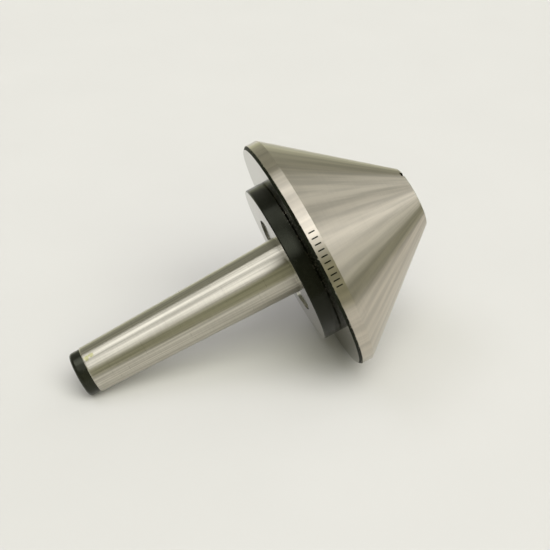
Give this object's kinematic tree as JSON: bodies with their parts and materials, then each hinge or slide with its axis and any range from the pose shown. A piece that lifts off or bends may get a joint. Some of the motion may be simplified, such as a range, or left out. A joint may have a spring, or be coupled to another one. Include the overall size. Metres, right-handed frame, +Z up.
{
  "type": "live center",
  "caption": "Bull-nose live center for a lathe tailstock: a wide truncated steel cone that spins on bearings about a tapered shank.",
  "frame": {"origin": "on the spindle axis at the gauge line of the Morse taper 3 shank", "axes": "+X along the spindle axis towards the nose and the workpiece, +Z up"},
  "size_m": [0.153, 0.1, 0.1],
  "materials": {
    "ground_steel": "fine ground",
    "turned_steel": "fine turned, satin",
    "black_oxide": "black oxide with a ground rear face",
    "plug_black": "black oxide",
    "bearing_steel": "polished",
    "ball_steel": "lapped and polished",
    "cage_brass": "machined",
    "shield_steel": "pressed sheet",
    "fastener_steel": "machined, oiled",
    "spring_steel": "phosphated",
    "felt": "oiled felt"
  },
  "bodies": {
    "arbor": {"shank": "ground_steel", "rear_bearing_inner_ring": "bearing_steel", "spindle_lock_washer": "fastener_steel", "spindle_lock_nut": "fastener_steel", "thrust_shaft_washer": "bearing_steel", "front_bearing_inner_ring": "bearing_steel", "front_circlip": "spring_steel"},
    "head": {"cone_head": "turned_steel", "rear_retaining_nut": "black_oxide", "dust_seal": "felt", "rear_bearing_outer_ring": "bearing_steel", "rear_bearing_shields": "shield_steel", "thrust_housing_washer": "bearing_steel", "front_bearing_outer_ring": "bearing_steel", "front_bearing_shields": "shield_steel", "front_preload_washer": "spring_steel", "nose_plug": "plug_black"},
    "rear_cage_set": {"rear_bearing_balls": "ball_steel", "rear_bearing_cage": "cage_brass"},
    "thrust_cage_set": {"thrust_bearing_balls": "ball_steel", "thrust_bearing_cage": "cage_brass"},
    "front_cage_set": {"front_bearing_balls": "ball_steel", "front_bearing_cage": "cage_brass"}
  },
  "joints": [
    {"name": "head_spin", "type": "hinge", "parent": "arbor", "child": "head", "pos_m": [0.027, 0, 0], "axis": [1, 0, 0], "continuous": true},
    {"name": "rear_cage_spin", "type": "hinge", "parent": "arbor", "child": "rear_cage_set", "pos_m": [0.027, 0, 0], "axis": [1, 0, 0], "continuous": true},
    {"name": "thrust_cage_spin", "type": "hinge", "parent": "arbor", "child": "thrust_cage_set", "pos_m": [0.0457, 0, 0], "axis": [1, 0, 0], "continuous": true},
    {"name": "front_cage_spin", "type": "hinge", "parent": "arbor", "child": "front_cage_set", "pos_m": [0.0565, 0, 0], "axis": [1, 0, 0], "continuous": true}
  ],
  "couplings": [
    {"joint": "rear_cage_spin", "follows": "head_spin", "ratio": 0.584},
    {"joint": "thrust_cage_spin", "follows": "head_spin", "ratio": 0.5},
    {"joint": "front_cage_spin", "follows": "head_spin", "ratio": 0.619}
  ]
}
